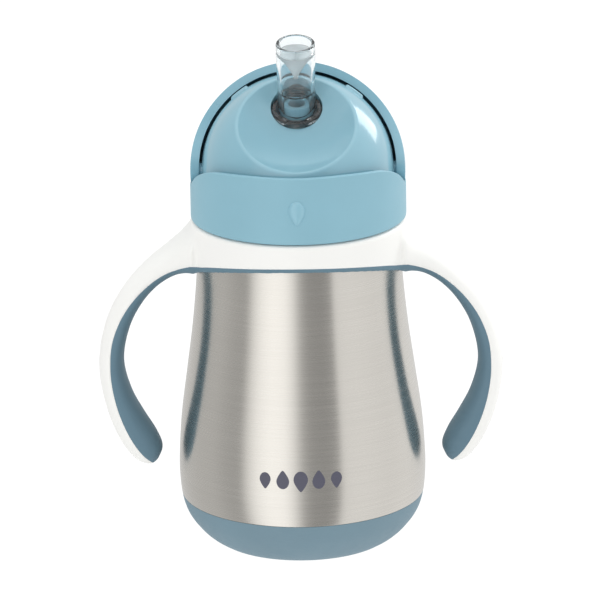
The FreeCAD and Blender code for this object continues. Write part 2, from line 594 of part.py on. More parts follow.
def main():
    handle_frame, handle_grip = handle_parts()
    spout_root, spout_tip = spout()
    parts = {
        "outer_shell": outer_shell(),
        "inner_flask": inner_flask(),
        "base_plate": base_plate(),
        "vacuum_seal": vacuum_seal(),
        "getter": getter(),
        "base_cup": base_cup(),
        "handle_frame": handle_frame,
        "handle_grip": handle_grip,
        "lid_collar": lid_collar(),
        "lid_dome": lid_dome(),
        "lid_gasket": lid_gasket(),
        "shutter": shutter(),
        "spout_root": spout_root,
        "spout_tip": spout_tip,
        "vent_valve": vent_valve(),
        "straw_tube": straw_tube(),
    }
    os.makedirs("parts", exist_ok=True)
    for name, shape in parts.items():
        print(name, len(shape.Solids), shape.isValid(), round(shape.Volume / 1000, 2), "cm3")
        shape.exportStep(os.path.join("parts", name + ".step"))


main()
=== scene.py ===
import math

import bmesh
import bpy
import numpy as np
from mathutils import Matrix, Vector


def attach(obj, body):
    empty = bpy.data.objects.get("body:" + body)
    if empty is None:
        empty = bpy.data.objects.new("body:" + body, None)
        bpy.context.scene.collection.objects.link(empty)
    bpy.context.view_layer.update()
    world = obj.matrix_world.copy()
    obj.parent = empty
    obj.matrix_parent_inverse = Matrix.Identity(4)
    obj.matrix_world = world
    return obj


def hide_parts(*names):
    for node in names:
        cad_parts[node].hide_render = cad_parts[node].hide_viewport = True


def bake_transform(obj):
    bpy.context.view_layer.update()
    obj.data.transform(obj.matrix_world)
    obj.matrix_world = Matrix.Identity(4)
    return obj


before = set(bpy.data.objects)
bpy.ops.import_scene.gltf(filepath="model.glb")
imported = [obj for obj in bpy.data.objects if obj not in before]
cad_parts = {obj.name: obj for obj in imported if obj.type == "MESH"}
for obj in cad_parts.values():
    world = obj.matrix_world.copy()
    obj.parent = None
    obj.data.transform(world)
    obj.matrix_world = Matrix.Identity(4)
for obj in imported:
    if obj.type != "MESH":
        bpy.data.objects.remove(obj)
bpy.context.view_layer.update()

MM = 0.001


# The cup's sizes in millimetres, as its CAD has them
SIDE = [(40.0, 25.0), (39.1, 40.5), (36.9, 57.0), (34.8, 72.5), (33.3, 88.0), (32.6, 100.2)]
LOW_SIDE = [(28.4, 0.35), (31.0, 2.0), (33.3, 4.0), (35.05, 6.0), (36.55, 8.0), (37.7, 10.0), (38.65, 12.5),
            (39.4, 16.0), (39.85, 20.5), (40.0, 25.0)]
SHOULDER_Z = 102.6
NECK_R = 29.6
MOUTH_Z = 116.1
SEAM_Z = 15.5
STEEL = 0.6
PIVOT = Vector((0, 0, 123.6))
COLLAR_R, COLLAR_IN_R, COLLAR_LOW = 34.7, 32.5, 108.5
COLLAR_FRONT, COLLAR_BACK = 6.7, -4.2
DOME_R, DOME_WALL = 30.9, 2.0
DISH_R, DISH_SAG, HOLE_UP, HOLE_R = 19.0, 5.8, 10.6, 8.3
SHUTTER_R, SHUTTER_IN_R, SWING, EAR_R = 34.6, 31.9, 94.0, 3.8
SPOUT_R, SPOUT_LENGTH, FOLD_UP, FOLD_FLAT = 6.3, 22.4, 4.2, 0.4
RING_R, RING_TOP, RING_BORE = 34.9, 108.2, 31.9
DECK_Z = PIVOT.z + COLLAR_BACK


# ------------------------------------------------------------------ mesh helpers

def tilted(degrees):
    """Unit vector in the YZ plane: 0 points to the front, 90 up."""
    a = math.radians(degrees)
    return Vector((0, -math.cos(a), math.sin(a)))


DISH_NORMAL, DISH_UP, SPOUT_AXIS = tilted(52), tilted(142), tilted(77)
DISH_PLANE = math.sqrt(DOME_R ** 2 - DISH_R ** 2)
DISH_BALL = (DISH_R ** 2 + DISH_SAG ** 2) / (2 * DISH_SAG)
HOLE = PIVOT + DISH_NORMAL * (DISH_PLANE - DISH_SAG * (1 - (HOLE_UP / DISH_R) ** 2)) + DISH_UP * HOLE_UP


def smooth_curve(points, steps):
    """Points on a smooth curve through points, steps to each stretch (centripetal Catmull-Rom)."""
    pts = [np.array(p, float) for p in points]
    pts = [2 * pts[0] - pts[1]] + pts + [2 * pts[-1] - pts[-2]]
    out = []
    for i in range(1, len(pts) - 2):
        p0, p1, p2, p3 = pts[i - 1:i + 3]
        t0 = 0.0
        t1 = t0 + np.linalg.norm(p1 - p0) ** 0.5
        t2 = t1 + np.linalg.norm(p2 - p1) ** 0.5
        t3 = t2 + np.linalg.norm(p3 - p2) ** 0.5
        for k in range(steps):
            t = t1 + (t2 - t1) * k / steps
            a1 = (t1 - t) / (t1 - t0) * p0 + (t - t0) / (t1 - t0) * p1
            a2 = (t2 - t) / (t2 - t1) * p1 + (t - t1) / (t2 - t1) * p2
            a3 = (t3 - t) / (t3 - t2) * p2 + (t - t2) / (t3 - t2) * p3
            b1 = (t2 - t) / (t2 - t0) * a1 + (t - t0) / (t2 - t0) * a2
            b2 = (t3 - t) / (t3 - t1) * a2 + (t - t1) / (t3 - t1) * a3
            out.append((t2 - t) / (t2 - t1) * b1 + (t - t1) / (t2 - t1) * b2)
    out.append(pts[-2])
    return out


def rounded(corners, steps=5):
    """A closed outline from (x, y, radius) corners, each corner rounded by its radius."""
    pts = [np.array(c[:2], float) for c in corners]
    out = []
    for i, (x, y, radius) in enumerate(corners):
        p, a, b = pts[i], pts[i - 1], pts[(i + 1) % len(pts)]
        if radius == 0:
            out.append(tuple(p))
            continue
        u, v = a - p, b - p
        lu, lv = np.linalg.norm(u), np.linalg.norm(v)
        u, v = u / lu, v / lv
        half = math.acos(max(-1.0, min(1.0, float(u @ v)))) / 2
        cut = min(radius / math.tan(half), lu * 0.49, lv * 0.49)
        for k in range(steps + 1):
            t = k / steps
            out.append(tuple(p + u * cut * (1 - t) ** 2 + v * cut * t ** 2))
    return out


def make(name, verts, faces):
    """A smooth-shaded object from corners in millimetres."""
    mesh = bpy.data.meshes.new(name)
    mesh.from_pydata([tuple(c * MM for c in v) for v in verts], [], faces)
    mesh.validate()
    mesh.polygons.foreach_set("use_smooth", [True] * len(mesh.polygons))
    obj = bpy.data.objects.new(name, mesh)
    bpy.context.scene.collection.objects.link(obj)
    return obj


def grid_faces(rows, cols, wrap_rows=False, wrap_cols=False, base=0):
    """Quads over rows of corners that follow one another in a list, from corner base on."""
    faces = []
    for i in range(rows if wrap_rows else rows - 1):
        for j in range(cols if wrap_cols else cols - 1):
            i2, j2 = (i + 1) % rows, (j + 1) % cols
            faces.append((base + i * cols + j, base + i * cols + j2,
                          base + i2 * cols + j2, base + i2 * cols + j))
    return faces


def lathe(name, outline, segments=192, matrix=None, closed=True):
    """Turns an outline of (radius, height) round Z. Corners at radius 0 become poles."""
    verts, index = [], []
    for r, z in outline:
        if r < 1e-6:
            index.append([len(verts)] * segments)
            verts.append(Vector((0, 0, z)))
            continue
        index.append(list(range(len(verts), len(verts) + segments)))
        for k in range(segments):
            a = 2 * math.pi * k / segments
            verts.append(Vector((r * math.cos(a), r * math.sin(a), z)))
    faces = []
    count = len(outline)
    for i in range(count if closed else count - 1):
        a, b = index[i], index[(i + 1) % count]
        for k in range(segments):
            n = (k + 1) % segments
            face = []
            for v in (a[k], a[n], b[n], b[k]):
                if v not in face:
                    face.append(v)
            if len(face) > 2:
                faces.append(tuple(face))
    if matrix is not None:
        verts = [matrix @ v for v in verts]
    obj = make(name, verts, faces)
    fix_normals(obj)
    return obj


def fix_normals(obj):
    bm = bmesh.new()
    bm.from_mesh(obj.data)
    bmesh.ops.recalc_face_normals(bm, faces=bm.faces)
    bm.to_mesh(obj.data)
    bm.free()


def helix(name, root_r, crest_r, start_z):
    """The raised thread, tapered off to nothing at both ends."""
    pitch, turns, wide, narrow = 3.6, 0.94, 1.4, 0.7
    steps = 150
    verts = []
    for i in range(steps + 1):
        t = i / steps
        fade = min(1.0, t / 0.06, (1 - t) / 0.06)
        a = math.radians(100 + 360 * turns * t)
        z = start_z + pitch * turns * t
        crest = root_r + (crest_r - root_r) * math.sin(fade * math.pi / 2)
        middle = (root_r + crest) / 2
        for r, dz in ((root_r, -wide / 2), (middle, -wide * 0.42), (crest, -narrow / 2), (crest, narrow / 2),
                      (middle, wide * 0.42), (root_r, wide / 2)):
            verts.append((r * math.cos(a), r * math.sin(a), z + dz))
    faces = grid_faces(steps + 1, 6, wrap_cols=True)
    faces += [tuple(range(6)), tuple(range(steps * 6 + 5, steps * 6 - 1, -1))]
    obj = make(name, verts, faces)
    fix_normals(obj)
    return obj


def join(target, *others):
    bm = bmesh.new()
    for o in (target,) + others:
        bm.from_mesh(o.data)
    bm.to_mesh(target.data)
    bm.free()
    target.data.polygons.foreach_set("use_smooth", [True] * len(target.data.polygons))
    for o in others:
        bpy.data.objects.remove(o)
    return target


def apply(obj):
    """Bakes the modifiers into the mesh."""
    bpy.context.view_layer.update()
    mesh = bpy.data.meshes.new_from_object(obj.evaluated_get(bpy.context.evaluated_depsgraph_get()))
    obj.modifiers.clear()
    old = obj.data
    obj.data = mesh
    bpy.data.meshes.remove(old)
    return obj


def boolean(obj, cutter, operation, keep=False):
    m = obj.modifiers.new("cut", "BOOLEAN")
    m.operation = operation
    m.solver = "MANIFOLD"
    m.object = cutter
    apply(obj)
    if not keep:
        bpy.data.objects.remove(cutter)
    return obj


def bevel(obj, width, angle=35, segments=3):
    m = obj.modifiers.new("edge", "BEVEL")
    m.width = width * MM
    m.segments = segments
    m.limit_method = "ANGLE"
    m.angle_limit = math.radians(angle)
    m.harden_normals = False
    return obj


def weighted(obj):
    obj.data.polygons.foreach_set("use_smooth", [True] * len(obj.data.polygons))
    m = obj.modifiers.new("normals", "WEIGHTED_NORMAL")
    m.keep_sharp = True
    m.weight = 60
    return obj


def frame_to(axis, origin, up=Vector((1, 0, 0))):
    """Matrix that lays +Z along axis at origin, with +X along up."""
    z = axis.normalized()
    x = (up - z * up.dot(z)).normalized()
    y = z.cross(x)
    m = Matrix.Identity(4)
    for i, v in enumerate((x, y, z)):
        for k in range(3):
            m[k][i] = v[k]
    m.translation = origin
    return m


# The plug's seat in the dish is an oval, a little below the spout's axis
SEAT_DROP, SEAT_HALF = 1.4, 6.9
PLUG_AT = frame_to(DISH_NORMAL, HOLE - DISH_UP * SEAT_DROP) @ Matrix.Diagonal((1, SEAT_HALF / HOLE_R, 1, 1))


# ------------------------------------------------------------------ materials

class Nodes:
    """Short way to write a node tree."""

    def __init__(self, name):
        self.mat = bpy.data.materials.new(name)
        self.mat.use_nodes = True
        self.tree = self.mat.node_tree
        self.shader = self.tree.nodes["Principled BSDF"]
        self.coord = self.new("ShaderNodeTexCoord").outputs["Object"]

    def new(self, kind, **settings):
        node = self.tree.nodes.new(kind)
        for key, value in settings.items():
            setattr(node, key, value)
        return node

    def link(self, a, b):
        self.tree.links.new(a, b)

    def scaled(self, scale):
        node = self.new("ShaderNodeMapping")
        node.inputs["Scale"].default_value = scale
        self.link(self.coord, node.inputs["Vector"])
        return node.outputs["Vector"]

    def noise(self, vector, scale, detail=3.0, rough=0.5):
        node = self.new("ShaderNodeTexNoise")
        node.inputs["Scale"].default_value = scale
        node.inputs["Detail"].default_value = detail
        node.inputs["Roughness"].default_value = rough
        self.link(vector, node.inputs["Vector"])
        return node.outputs["Fac"]

    def span(self, value, low, high, from_low=0.3, from_high=0.7):
        node = self.new("ShaderNodeMapRange")
        node.inputs["From Min"].default_value = from_low
        node.inputs["From Max"].default_value = from_high
        node.inputs["To Min"].default_value = low
        node.inputs["To Max"].default_value = high
        self.link(value, node.inputs["Value"])
        return node.outputs["Result"]

    def blend_colors(self, factor, a, b):
        node = self.new("ShaderNodeMix", data_type="RGBA")
        self.link(factor, node.inputs[0])
        node.inputs[6].default_value = (*a, 1)
        node.inputs[7].default_value = (*b, 1)
        return node.outputs[2]

    def math(self, operation, a, b):
        node = self.new("ShaderNodeMath", operation=operation)
        for k, v in enumerate((a, b)):
            if isinstance(v, (int, float)):
                node.inputs[k].default_value = v
            else:
                self.link(v, node.inputs[k])
        return node.outputs[0]

    def bump(self, height, strength, distance, previous=None):
        node = self.new("ShaderNodeBump")
        node.inputs["Strength"].default_value = strength
        node.inputs["Distance"].default_value = distance
        self.link(height, node.inputs["Height"])
        if previous is not None:
            self.link(previous, node.inputs["Normal"])
        return node.outputs["Normal"]

    def set(self, **values):
        for key, value in values.items():
            self.shader.inputs[key.replace("_", " ")].default_value = value

    def wire(self, **sockets):
        for key, value in sockets.items():
            self.link(value, self.shader.inputs[key.replace("_", " ")])


def shade(color, factor):
    return tuple(min(1.0, c * factor) for c in color)


def moulded(name, color, rough, grain=0.25, coat=0.0, soft=0.0, mottle=0.03):
    """Moulded plastic or rubber: faint colour drift, uneven gloss, fine grain and slight waviness."""
    n = Nodes(name)
    drift = n.noise(n.coord, 28.0, 4.0, 0.6)
    n.wire(Base_Color=n.blend_colors(n.span(drift, 0, 1), shade(color, 1 - mottle), shade(color, 1 + mottle)))
    wear = n.noise(n.coord, 260.0, 5.0, 0.65)
    n.wire(Roughness=n.span(wear, rough * 0.88, rough * 1.14))
    fine = n.noise(n.coord, 5200.0, 2.0)
    wave = n.noise(n.coord, 60.0, 1.0)
    normal = n.bump(fine, grain, 0.00002)
    n.wire(Normal=n.bump(wave, 0.12, 0.0001, normal))
    n.set(IOR=1.5)
    if coat:
        n.set(Coat_Weight=coat, Coat_Roughness=0.05)
    if soft:
        n.set(Subsurface_Weight=soft, Subsurface_Radius=(0.004, 0.004, 0.004))
    return n.mat


def brushed_steel(name, color, rough, lines, anisotropy):
    """Steel brushed round the axis: streaks in colour, gloss and height that run level round the bottle."""
    n = Nodes(name)
    coarse = n.noise(n.scaled((9, 9, 1500)), 1.0, 4.0, 0.7)
    fine = n.noise(n.scaled((30, 30, 5200)), 1.0, 3.0, 0.6)
    cloud = n.noise(n.coord, 22.0, 3.0, 0.5)
    streak = n.math("ADD", n.math("MULTIPLY", coarse, 0.5), n.math("MULTIPLY", fine, 0.5))
    mixed = n.math("ADD", n.math("MULTIPLY", streak, 0.8), n.math("MULTIPLY", cloud, 0.2))
    n.wire(Base_Color=n.blend_colors(n.span(mixed, 0, 1, 0.35, 0.65),
                                     shade(color, 0.945), shade(color, 1.045)))
    n.wire(Roughness=n.span(streak, rough * 0.88, rough * 1.14, 0.35, 0.65))
    n.wire(Normal=n.bump(streak, lines, 0.00002))
    tangent = n.new("ShaderNodeTangent", direction_type="RADIAL", axis="Z")
    n.link(tangent.outputs[0], n.shader.inputs["Tangent"])
    n.set(Metallic=1.0, Anisotropic=anisotropy, Anisotropic_Rotation=0.25)
    return n.mat


def clear_silicone(name, through):
    """Silicone with a faintly uneven moulded surface. The less light goes through, the milkier it is."""
    n = Nodes(name)
    haze = n.noise(n.coord, 90.0, 2.0)
    n.wire(Base_Color=n.blend_colors(n.span(haze, 0, 1), (0.90, 0.96, 0.98), (0.94, 0.98, 0.99)))
    n.wire(Roughness=n.span(n.noise(n.coord, 400.0, 2.0), 0.02, 0.07))
    n.wire(Normal=n.bump(n.noise(n.coord, 150.0, 1.0), 0.06, 0.00012))
    n.set(IOR=1.41, Transmission_Weight=through)
    return n.mat


LID = (0.245, 0.465, 0.56)
M = {
    "brushed_steel_body": brushed_steel("brushed_steel_body", (0.67, 0.645, 0.60), 0.26, 0.018, 0.82),
    "bare_steel": brushed_steel("bare_steel", (0.66, 0.65, 0.64), 0.24, 0.15, 0.3),
    "base_blue": moulded("base_blue", (0.165, 0.262, 0.32), 0.55, 0.35),
    "handle_white": moulded("handle_white", (0.90, 0.90, 0.875), 0.42, 0.2, soft=0.08, mottle=0.01),
    "grip_blue": moulded("grip_blue", (0.115, 0.205, 0.265), 0.58, 0.4),
    "lid_blue": moulded("lid_blue", LID, 0.42, 0.3),
    "dome_blue": moulded("dome_blue", LID, 0.2, 0.08, coat=0.5),
    # Painted light: the lid's own blue made 6% lighter to stand in for the brighter shine on the hood, with a
    # glossier coat
    "shutter_blue": moulded("shutter_blue", shade(LID, 1.06), 0.3, 0.2, coat=0.35),
    "clear_silicone": clear_silicone("clear_silicone", 0.97),
    "milky_silicone": clear_silicone("milky_silicone", 0.4),
    "white_silicone": moulded("white_silicone", (0.75, 0.76, 0.76), 0.45, 0.2, soft=0.2, mottle=0.01),
    "print_ink": moulded("print_ink", (0.085, 0.085, 0.12), 0.5, 0.4, mottle=0.08),
    "solder": moulded("solder", (0.42, 0.42, 0.43), 0.38, 0.6, mottle=0.12),
    "getter_grey": moulded("getter_grey", (0.07, 0.07, 0.072), 0.8, 0.9, mottle=0.25),
}


def place(obj, slot, body, *nodes):
    """Gives a piece its material, sets it on its body, and lets it stand for CAD nodes."""
    obj.data.materials.clear()
    obj.data.materials.append(M[slot])
    if body:
        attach(obj, body)
    if nodes:
        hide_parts(*nodes)
    return obj


# ------------------------------------------------------------------ bottle

def base_curve(inset, top_z, bottom_z, steps=14):
    """The rounded lower side between two heights, moved in square to itself by inset."""
    curve = np.array(smooth_curve(LOW_SIDE + [(40.0, 28.0)], 12))[:-12]
    along = np.gradient(curve, axis=0)
    along /= np.linalg.norm(along, axis=1)[:, None]
    curve = curve + np.stack([-along[:, 1], along[:, 0]], 1) * inset
    heights = [bottom_z + (top_z - bottom_z) * (i / steps) ** 1.25 for i in range(steps + 1)]
    return [(float(np.interp(z, curve[:, 1], curve[:, 0])), z) for z in heights]


def side_curve(inset):
    """The bell-shaped side from the widest place up to the shoulder, rising straight up where it starts."""
    points = [(40.0 - 0.12, 21.0)] + SIDE + [(32.55, 101.5)]
    curve = smooth_curve(points, 9)
    return [(p[0] - inset, p[1]) for p in curve[9:-9]]


def bottle():
    low = [(r, z, 0) for r, z in base_curve(1.8, SEAM_Z + 0.05, 6.5)]
    wall = [(r, z, 0) for r, z in base_curve(0, 24.6, SEAM_Z + 0.05)]
    side = [(r, z, 0) for r, z in side_curve(0)]
    shoulder = [(32.6 - 2.4 + 2.4 * math.cos(t), 100.2 + 2.4 * math.sin(t), 0)
                for t in (math.pi / 2 * k / 8 for k in range(1, 9))]
    neck = [(NECK_R, SHOULDER_Z, 0.5), (NECK_R, MOUTH_Z - STEEL, 0), (NECK_R - STEEL, MOUTH_Z - STEEL, 0),
            (NECK_R - STEEL, SHOULDER_Z - STEEL, 0.3)]
    inner_side = [(r, z, 0) for r, z in side_curve(STEEL)][::-1]
    inner_wall = [(r, z, 0) for r, z in base_curve(STEEL, 24.6, SEAM_Z + 0.65)][::-1]
    inner_low = [(r, z, 0) for r, z in base_curve(2.4, SEAM_Z + 0.65, 6.5)][::-1]
    first = [(wall[0][0], SEAM_Z + 0.05, 0.25)]
    outline = low + first + wall[1:] + side[1:] + shoulder + neck + inner_side + inner_wall + inner_low
    shell = lathe("steel_shell", rounded(outline), 256)
    join(shell, helix("neck_thread", NECK_R - 0.2, 31.5, 111.1))
    place(weighted(shell), "brushed_steel_body", "bottle", "outer_shell")

    foot = [(0, 0.8, 0), (22.6, 0.8, 0.5), (23.6, 0.0, 0.4), (27.4, 0.0, 0)]
    outside = [(r, z, 0) for r, z in base_curve(0, SEAM_Z - 0.3, 0.35, 24)]
    top = [(outside[-1][0] + 0.06, SEAM_Z, 0.25), (base_curve(1.7, SEAM_Z, 2.6)[-1][0], SEAM_Z, 0)]
    inside = [(r, z, 0) for r, z in base_curve(1.7, SEAM_Z - 0.2, 2.6)][::-1]
    outline = rounded(foot + outside + top + inside + [(0, 2.6, 0)])
    cup = lathe("base_cup_skin", outline, 224)
    place(weighted(cup), "base_blue", "bottle", "base_cup")


def print_mark():
    """A row of five plain printed drops low on the front of the steel."""
    outlines = [(-11.6, 31.6, 2.3, 0), (-5.8, 31.2, 2.6, 180), (0.0, 31.6, 2.9, 0), (5.8, 31.2, 2.6, 180),
                (11.6, 31.6, 2.3, 0)]
    verts, faces = [], []
    for cx, cz, size, turn in outlines:
        rim = []
        for k in range(48):
            a = 2 * math.pi * k / 48
            x = size * 0.8 * math.sin(a) * (1 if math.cos(a) > 0 else 1 - 0.55 * abs(math.cos(a)) ** 1.4)
            z = size * math.cos(a) * (1 if math.cos(a) > 0 else 1.35)
            flip = -1 if turn else 1
            rim.append((x, z * flip))
        for scale in (1.0, 0.66, 0.33):
            for x, z in rim:
                px, pz = cx + x * scale, cz + z * scale
                radius = side_radius(pz) + 0.03
                a = px / radius
                verts.append((radius * math.sin(a), -radius * math.cos(a), pz))
        base = len(verts) - 144
        faces += grid_faces(3, 48, wrap_cols=True, base=base)
        faces.append(tuple(range(base + 96, base + 144)))
    mark = make("printed_drops", verts, faces)
    fix_normals(mark)
    place(mark, "print_ink", "bottle")


def side_radius(z):
    curve = side_curve(0)
    return float(np.interp(z, [p[1] for p in curve], [p[0] for p in curve]))


# ------------------------------------------------------------------ handle

# Sections along an arm: outer point and inner point as (x, z), and the width
ARM = [
    ((33.9, 107.0), (33.9, 90.2), 30.0),
    ((37.6, 103.0), (36.4, 90.3), 24.0),
    ((42.6, 98.8), (40.2, 89.3), 19.0),
    ((49.6, 93.0), (45.4, 86.0), 16.5),
    ((57.0, 84.6), (50.6, 80.2), 15.5),
    ((62.6, 74.0), (55.0, 71.8), 15.0),
    ((65.4, 60.0), (57.3, 60.0), 15.0),
    ((64.0, 47.0), (55.0, 49.6), 15.0),
    ((60.4, 35.8), (50.9, 41.6), 15.0),
    ((56.6, 29.2), (47.2, 35.4), 14.0),
    ((53.5, 26.0), (45.4, 30.6), 11.5),
    ((50.0, 24.5), (46.6, 26.9), 6.5),
]
# The arms' parting line as (x, z), then the ring's lower edge and the blue band's upper edge as (y, z)
LINING = [(33.0, 95.8), (38.5, 93.4), (43.9, 90.8), (48.9, 87.0), (53.9, 81.7), (58.0, 75.2), (60.8, 67.4),
          (61.5, 60.0), (61.1, 53.0), (59.4, 45.0), (56.4, 37.0), (52.8, 30.6), (49.2, 26.2), (44.5, 21.0)]
RING_EDGE = [(0.0, 90.4), (3.0, 90.4), (8.0, 91.4), (13.0, 93.2), (20.0, 95.2), (27.5, 97.3), (35.1, 99.3),
             (40.0, 100.6)]
BAND_EDGE = [(12.5, 95.0), (16.0, 95.9), (20.0, 97.1), (27.0, 98.9), (35.0, 100.8), (60.0, 107.0)]
_edge = np.array(smooth_curve(RING_EDGE, 8))
_band = np.array(smooth_curve(BAND_EDGE, 8))
_lining = np.array(smooth_curve(LINING, 8))


def ring_edge(y):
    """Height of the ring's lower edge."""
    return float(np.interp(abs(y), _edge[:, 0], _edge[:, 1]))


def body_radius(z):
    return float(np.interp(z, [p[1] for p in SIDE], [p[0] for p in SIDE]))


def ring_mesh():
    segments = 288
    seat, corner, gap = 102.1, RING_TOP - 0.9, 0.35
    verts = []
    rows = 0
    for k in range(segments):
        a = 2 * math.pi * k / segments
        low = ring_edge(RING_R * math.sin(a))
        outline = [(RING_BORE, seat), (RING_BORE, RING_TOP), (RING_R - 1.2, RING_TOP), (RING_R, corner)]
        outline += [(RING_R + 0.15 * t, corner + (low - RING_TOP + 0.9) * t) for t in (0.25, 0.5, 0.75, 1)]
        outline += [(body_radius(low) + gap, low), (body_radius(100.2) + gap, 100.2),
                    (body_radius(100.2) + gap, seat)]
        rows = len(outline)
        verts += [(r * math.cos(a), r * math.sin(a), z) for r, z in outline]
    obj = make("ring", verts, grid_faces(segments, rows, wrap_rows=True, wrap_cols=True))
    fix_normals(obj)
    return obj


def arm_mesh(sign):
    rows = [np.array([*o, *i, w]) for o, i, w in ARM]
    sections = smooth_curve(rows, 8)
    around = 36
    verts = []
    for s in sections:
        a, b = np.array([s[0], 0, s[1]]), np.array([s[2], 0, s[3]])
        centre, half = (a + b) / 2, (a - b) / 2
        for k in range(around):
            t = 2 * math.pi * k / around
            c, q = math.cos(t), math.sin(t)
            along = math.copysign(abs(c) ** 0.86, c)
            across = math.copysign(abs(q) ** 0.86, q)
            p = centre + half * along + np.array([0, s[4] / 2 * across, 0])
            verts.append((p[0] * sign, p[1], p[2]))
    count = len(sections)
    faces = grid_faces(count, around, wrap_cols=True)
    tip = len(verts)
    verts.append((48.0 * sign, 0, 25.0))
    root = len(verts)
    verts.append((33.9 * sign, 0, 98.0))
    for k in range(around):
        n = (k + 1) % around
        faces.append(((count - 1) * around + k, (count - 1) * around + n, tip))
        faces.append((n, k, root))
    obj = make("arm", verts, faces)
    fix_normals(obj)
    return obj


def prism(name, outline, low, high):
    """A solid with a flat (x, z) outline, swept along Y from low to high."""
    verts = []
    for depth in (low, high):
        verts += [(x, depth, z) for x, z in outline]
    n = len(outline)
    faces = [(k, (k + 1) % n, n + (k + 1) % n, n + k) for k in range(n)]
    faces += [tuple(range(n)), tuple(range(2 * n - 1, n - 1, -1))]
    obj = make(name, verts, faces)
    fix_normals(obj)
    return obj


def lining_cutter():
    """All that is soft: the bottle's side of the arms' parting lines, and below the ring's wavy line."""
    reach, step, bottom = 46.0, 1.0, 60.0
    over_body, down_arm = _lining[:30], _lining[12:]
    band_start = BAND_EDGE[0][1]
    at = np.arange(-reach, reach + step / 2, step)
    n = len(at)
    verts = []
    for x in at:
        arm = float(np.interp(max(abs(x), RING_R + 0.2), over_body[:, 0], over_body[:, 1]))
        for y in at:
            verts.append((x, y, arm + float(np.interp(abs(y), _band[:, 0], _band[:, 1])) - band_start))
    size = len(verts)
    verts += [(x, y, bottom) for x in at for y in at]
    faces = grid_faces(n, n) + grid_faces(n, n, base=size)
    for k in range(n - 1):
        for a, b in ((k, k + 1), ((n - 1) * n + k, (n - 1) * n + k + 1), (k * n, (k + 1) * n),
                     (k * n + n - 1, (k + 1) * n + n - 1)):
            faces.append((a, b, b + size, a + size))
    region = make("soft_side", verts, faces)
    fix_normals(region)
    for sign in (-1, 1):
        outline = [(x * sign, z) for x, z in down_arm] + [(40.0 * sign, 15.0), (40.0 * sign, 92.0)]
        boolean(region, prism("side", outline, -45, 45), "UNION")
    return region


def soften(obj, weight, rounds):
    """Evens out the mesh where weight(x, y, z in mm) is above 0."""
    mesh = obj.data
    n = len(mesh.vertices)
    co = np.zeros(n * 3)
    mesh.vertices.foreach_get("co", co)
    co = co.reshape(-1, 3) / MM
    edges = np.zeros(len(mesh.edges) * 2, int)
    mesh.edges.foreach_get("vertices", edges)
    a, b = edges.reshape(-1, 2).T
    degree = np.maximum(np.bincount(np.concatenate([a, b]), minlength=n), 1)[:, None]
    w = weight(co)[:, None]
    for _ in range(rounds):
        total = np.zeros_like(co)
        np.add.at(total, a, co[b])
        np.add.at(total, b, co[a])
        co = co + (total / degree - co) * 0.6 * w
    mesh.vertices.foreach_set("co", (co * MM).ravel())
    mesh.update()


def handle():
    whole = join(ring_mesh(), arm_mesh(1), arm_mesh(-1))
    m = whole.modifiers.new("skin", "REMESH")
    m.mode = "VOXEL"
    m.voxel_size = 0.55 * MM
    m.adaptivity = 0
    apply(whole)

    def everywhere(co):
        return np.full(len(co), 0.8)

    def junction(co):
        radial = np.hypot(co[:, 0], co[:, 1])
        out = np.clip((radial - 34.6) / 0.8, 0, 1) * np.clip((46 - radial) / 7, 0, 1)
        side = np.clip((24 - np.abs(co[:, 1])) / 8, 0, 1)
        up = np.clip((co[:, 2] - 91.5) / 2, 0, 1) * np.clip((107.6 - co[:, 2]) / 1.5, 0, 1)
        return out * side * up

    soften(whole, everywhere, 3)
    soften(whole, junction, 45)
    grip = whole.copy()
    grip.data = whole.data.copy()
    grip.name = "handle_lining"
    bpy.context.scene.collection.objects.link(grip)
    cutter = lining_cutter()
    boolean(whole, cutter, "DIFFERENCE", keep=True)
    boolean(grip, cutter, "INTERSECT")
    whole.name = "handle_white_frame"
    for o in (whole, grip):
        fix_normals(o)
    place(weighted(bevel(whole, 0.18, 50, 2)), "handle_white", "handle", "handle_frame")
    place(weighted(bevel(grip, 0.18, 50, 2)), "grip_blue", "handle", "handle_grip")


# ------------------------------------------------------------------ lid

RAMP = [(-36.0, 0.0), (-32.0, 0.0), (-27.0, -0.5), (-21.0, -1.5), (-16.5, -3.1), (-12.0, -5.4), (-7.5, -8.2)]


def edge_points(lift, back):
    front = COLLAR_FRONT + lift
    pts = [(y, front + dz) for y, dz in RAMP] + [(-3.5, back + 0.5), (0.0, back), (6.0, back)]
    return np.array(smooth_curve(pts, 10))


COLLAR_EDGE = edge_points(0.0, COLLAR_BACK)
SHUTTER_EDGE = edge_points(0.35, -EAR_R)


def collar():
    segments = 360
    verts = []
    rows = 0
    for k in range(segments):
        a = 2 * math.pi * k / segments
        y = COLLAR_R * math.sin(a)
        top = PIVOT.z + float(np.interp(y, COLLAR_EDGE[:, 0], COLLAR_EDGE[:, 1]))
        deck = DECK_Z - 0.6
        outline = rounded([
            (28.9, DECK_Z - 2.0, 0.2), (COLLAR_IN_R, DECK_Z - 2.0, 0), (COLLAR_IN_R, COLLAR_LOW, 0.4),
            (COLLAR_R, COLLAR_LOW, 0.6), (COLLAR_R, 112.0, 0), (COLLAR_R, (112 + top) / 2, 0),
            (COLLAR_R, top - 0.9, 0), (COLLAR_R, top, 0.75), (COLLAR_IN_R, top, 0.75),
            (COLLAR_IN_R, (top + deck) / 2, 0), (COLLAR_IN_R, deck, 0), (28.9, deck, 0)])
        rows = len(outline)
        verts += [(r * math.cos(a), r * math.sin(a), z) for r, z in outline]
    obj = make("screw_collar", verts, grid_faces(segments, rows, wrap_rows=True, wrap_cols=True))
    fix_normals(obj)
    join(obj, helix("lid_thread", COLLAR_IN_R + 0.2, 30.1, 111.1 - 1.4 - 0.45))
    place(weighted(obj), "lid_blue", "lid", "lid_collar")
    # The raised drop wears the hood's glossy material, whose colour is the lid's blue painted lighter
    place(drop(), "shutter_blue", "lid")


